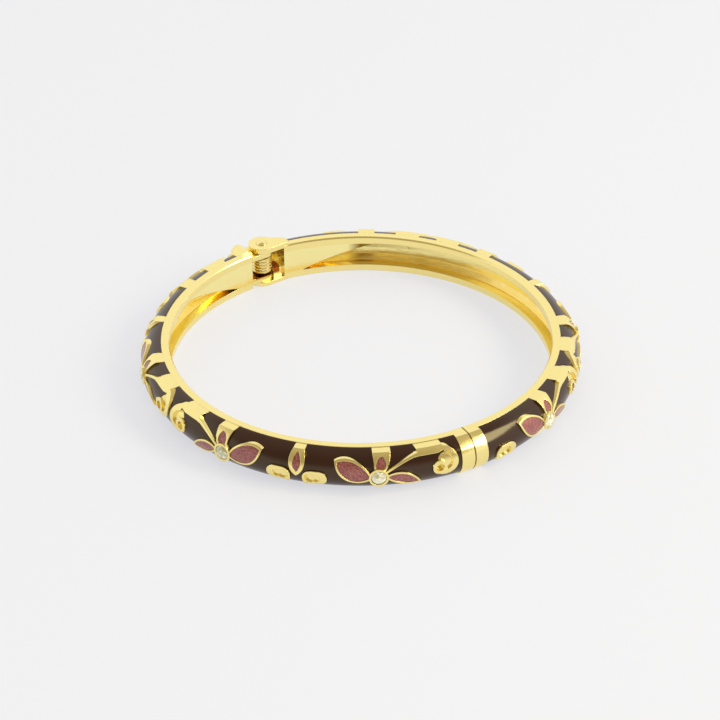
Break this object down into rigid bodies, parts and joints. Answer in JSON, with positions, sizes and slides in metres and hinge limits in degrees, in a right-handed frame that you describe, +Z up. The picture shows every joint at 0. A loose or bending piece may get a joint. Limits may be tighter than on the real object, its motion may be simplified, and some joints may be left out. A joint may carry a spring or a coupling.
{
  "type": "hinged bangle",
  "caption": "Round hinged bangle of cast gold-tone metal with dark brown enamel, raised floral scrollwork and crystal flower centres; a sprung hinge lets one half swing open for the wrist.",
  "frame": {"origin": "centre of the ring on the plane that the bottom rim lies on", "axes": "+Z up along the ring's axis; the picture looks along +Y at the front half; the closure seam lies front right at 299.8 degrees and the hinge back left at 120.7 degrees, counted counter-clockwise from +X"},
  "size_m": [0.067, 0.0677, 0.0071],
  "materials": {
    "gold_metal": "polished pale gold plating, cast texture inside",
    "spring_wire": "drawn gold-plated wire",
    "dark_enamel": "glossy dark brown hard enamel",
    "plum_enamel": "glossy plum enamel with fine glitter",
    "crystal": "clear cut crystal"
  },
  "bodies": {
    "back": {"back_half": "gold_metal", "back_enamel": "dark_enamel", "back_petals": "plum_enamel", "crystal_5": "crystal", "crystal_6": "crystal", "crystal_7": "crystal", "crystal_8": "crystal", "hinge_pin": "gold_metal", "hinge_spring": "spring_wire"},
    "front": {"front_half": "gold_metal", "front_enamel": "dark_enamel", "front_petals": "plum_enamel", "crystal_1": "crystal", "crystal_2": "crystal", "crystal_3": "crystal", "crystal_4": "crystal"}
  },
  "joints": [
    {"name": "hinge", "type": "hinge", "parent": "back", "child": "front", "pos_m": [-0.01567, 0.0264, 0], "axis": [0, 0, -1], "range_deg": [0, 45], "stiffness_Nm_per_rad": 0.0106, "springref_deg": -40.11}
  ]
}
